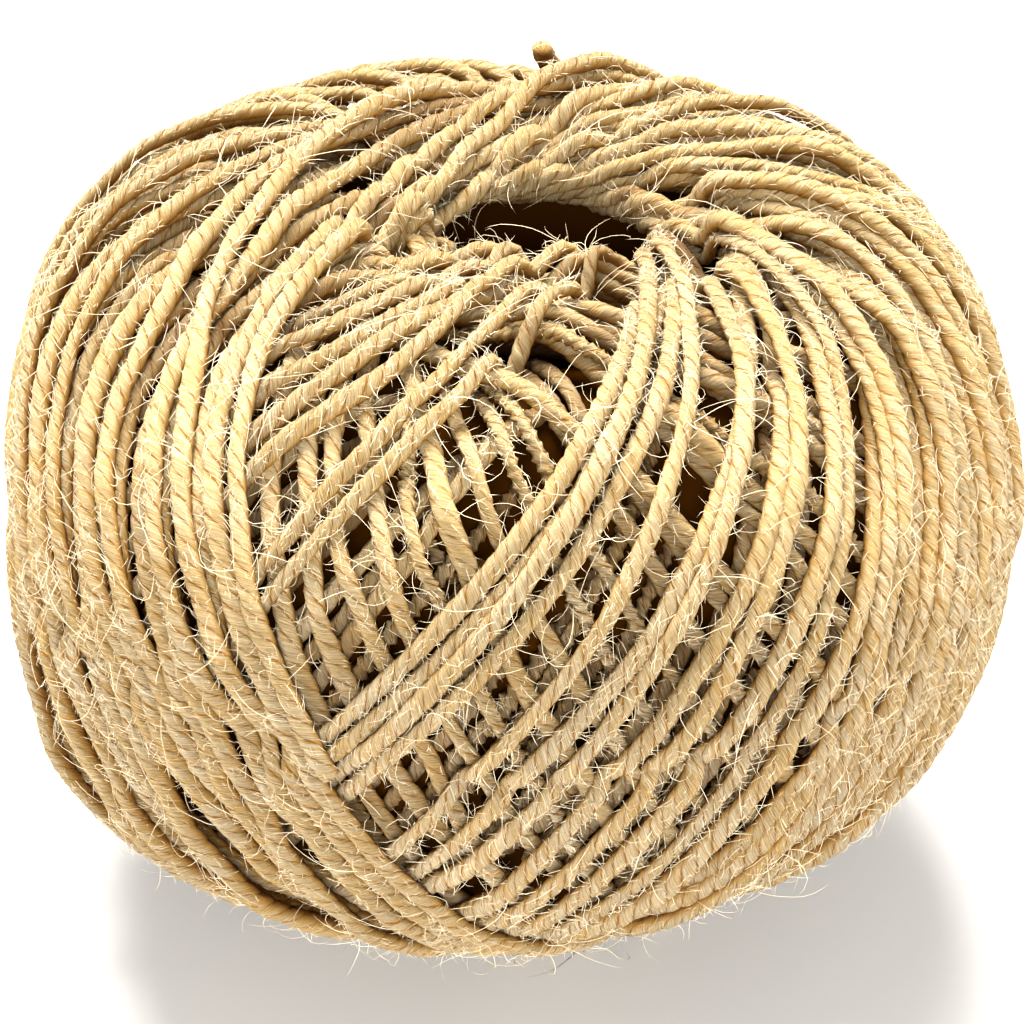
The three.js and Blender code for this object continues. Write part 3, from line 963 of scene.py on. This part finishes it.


# %% [markdown]
# ## Flax
# Retted flax is pale straw, with cream and brown fibres side by side that run nearly along the
# twine. So the shades are noise, stretched along it and fine around it, which lifts the surface
# too. The grooves between the plies are painted darker, and so are the flanks of each turn and
# whatever lies deep: painted shade, brown where light has met straw many times. Towards the top
# the twine is painted more golden, as painted light from above.

# %% The flax material
CREAM = (0.88, 0.75, 0.53, 1)
STRAW = (0.77, 0.50, 0.18, 1)
# painted top light: the golden shade mixed in towards the top, for the light from above
TOP_LIGHT_GOLD = (0.88, 0.65, 0.29, 1)
# painted shade on the flanks of each turn, mixed in as they face away from the outside
FLANK_SHADE_GOLD = (0.60, 0.31, 0.05, 1)
BROWN = (0.40, 0.16, 0.008, 1)
# painted shade, deeper, on the flanks of each turn
SHADE_BROWN = (0.28, 0.095, 0.004, 1)
# painted shade on twine that lies deep, darker the deeper it lies
DEEP_SHADE_BROWN = (0.15, 0.042, 0.001, 1)
FIBRE_SLANT = 11.0  # radians a cm, back towards the twine's axis
STREAKS = (4.6, 4.6, 6.0)  # how fine the shades are, across and along
TOP_LIGHT_FROM, TOP_LIGHT_TO = 0.036, 0.058  # metres up, where the painted top light turns the twine golden
BUMP_DEPTH = 0.0005  # metres
DULL, FAINT_GLOSS = 0.85, 0.12


def flax(name):
    """The twine's material, from its map coordinates and the facts stored with its points."""
    recipe = Recipe(name)
    place = recipe.node("ShaderNodeUVMap", {"uv_map": "ply"})
    around, along = recipe.part(place, "X"), recipe.part(place, "Y")
    tone, depth, flank = [recipe.read(label) for label in ("tone", "depth", "flank")]
    groove = abs((around * PLIES).maths("FRACT") - 0.5) * 2.0
    angle = around * (2 * math.pi) + along * FIBRE_SLANT
    fibres = recipe.vector(angle.maths("COSINE"), angle.maths("SINE"), along * 0.5 + tone * 40.0)
    fine = recipe.node("ShaderNodeVectorMath", {"operation": "MULTIPLY"}, {0: fibres, 1: STREAKS})
    streaks = recipe.noise(fine, 1.0, 5.0, 0.72).between(0.33, 0.67)
    patches = recipe.noise(recipe.vector(along * 1.5, tone * 30.0), 1.0).between(0.3, 0.7)
    light_share = streaks * 0.75 + patches * 0.35 + tone * 0.15 - 0.2
    # brown fibres from the streaks, plus the grooves between the plies darkened as painted shade
    brown_fibres_and_groove_shade = 0.58 - streaks * 1.2 + (groove ** 6.0) * (patches * 0.5 + 0.6)
    up = recipe.part(recipe.node("ShaderNodeTexCoord", output="Object"), "Z")
    colour = recipe.mixed(light_share.between(0.0, 1.0), STRAW, CREAM)
    # painted light and shade: golden towards the top for the light from above, darker on the flanks and
    # deep down
    for share, darker in ((up.between(TOP_LIGHT_FROM, TOP_LIGHT_TO) * 0.4, TOP_LIGHT_GOLD),
                          (brown_fibres_and_groove_shade.between(0.0, 1.0), BROWN),
                          (flank.between(0.22, 0.55) * 0.75, FLANK_SHADE_GOLD),
                          (flank.between(0.42, 0.85) * 0.92, SHADE_BROWN),
                          ((depth * 0.17 - 0.16).between(0.0, 1.0) * 0.9, DEEP_SHADE_BROWN)):
        colour = recipe.mixed(share, colour, darker)
    height = streaks * 0.9 - (groove ** 5.0) * 0.8
    bump = recipe.node("ShaderNodeBump", None, {"Strength": 1.0, "Distance": BUMP_DEPTH, "Height": height})
    return recipe.surface(Base_Color=colour, Roughness=DULL, Specular_IOR_Level=FAINT_GLOSS, Normal=bump)


def paint(pieces, material):
    """Gives pieces their material."""
    for piece in pieces:
        piece.data.materials.append(material)


paint(turn_pieces + [loose_end], flax("flax_twine"))

# %% [markdown]
# ## Plain finishes
# A single fibre shows as one pale shade. The heart, seen only deep in a gap, is painted shade: a
# near-black brown without gloss.

# %% The fibres and the heart
PALE_FLAX = (0.92, 0.79, 0.55, 1)
# painted shade: the heart's near-black brown, for the dark deep inside the gaps
HEART_SHADE_BROWN = (0.025, 0.008, 0.0006, 1)
paint(hair_pieces, Recipe("pale_fibre").surface(Base_Color=PALE_FLAX, Roughness=0.7))
heart_shade = Recipe("heart_painted_shade")
paint([heart], heart_shade.surface(Base_Color=HEART_SHADE_BROWN, Roughness=0.95, Specular_IOR_Level=0.0))

# %% [markdown]
# ## The floor
# The photograph's ground was cut away to white. A wide plain sheet, pale but not white, stands in
# for it: a whiter one throws so much light back up that the sides outshine the top.

# %% The floor
FLOOR_HALF = 1500.0  # mm from its middle to each side
FLOOR_GREY = (0.62, 0.615, 0.605, 1)
floor_corners = FLOOR_HALF * np.array([(-1, -1, 0), (1, -1, 0), (1, 1, 0), (-1, 1, 0)])
floor = new_piece("floor", floor_corners, np.arange(4), np.array([4]))
paint([floor], Recipe("pale_floor").surface(Base_Color=FLOOR_GREY, Roughness=0.9))

# %% [markdown]
# ## The light
# The photograph has soft light, strongest on the top and the back of the ball. A wide lamp stands
# above and behind it, a fainter one fills from the front, and a pale world lights the rest. The
# plain view keeps straw as yellow as it is; a film-like one would turn it grey.

# %% The lights
LAMPS = [  # name, place in metres, size in metres, power in watts, colour
    ("key", (-0.08, 0.4, 0.72), 0.5, 36.0, (1.0, 0.98, 0.95)),
    ("fill", (0, -0.85, 0.3), 0.5, 16.0, (1.0, 0.99, 0.97))]
LAMP_AIM = np.array([0, 0, 0.03])
WORLD_COLOUR, WORLD_STRENGTH = (1.0, 0.99, 0.97, 1), 0.6
for name, place, size, power, colour in LAMPS:
    light = bpy.data.lights.new(name, "AREA")
    light.shape, light.size, light.energy, light.color = "SQUARE", size, power, colour
    lamp = bpy.data.objects.new(name, light)
    bpy.context.scene.collection.objects.link(lamp)
    lamp.location = place
    x, y, z = LAMP_AIM - np.array(place)
    lamp.rotation_euler = (math.atan2(math.hypot(x, y), -z), 0, math.atan2(y, x) - math.pi / 2)
world = bpy.data.worlds.new("studio")
bpy.context.scene.world = world
world.use_nodes = True
background = world.node_tree.nodes["Background"].inputs
background["Color"].default_value = WORLD_COLOUR
background["Strength"].default_value = WORLD_STRENGTH
bpy.context.scene.view_settings.view_transform = "Standard"
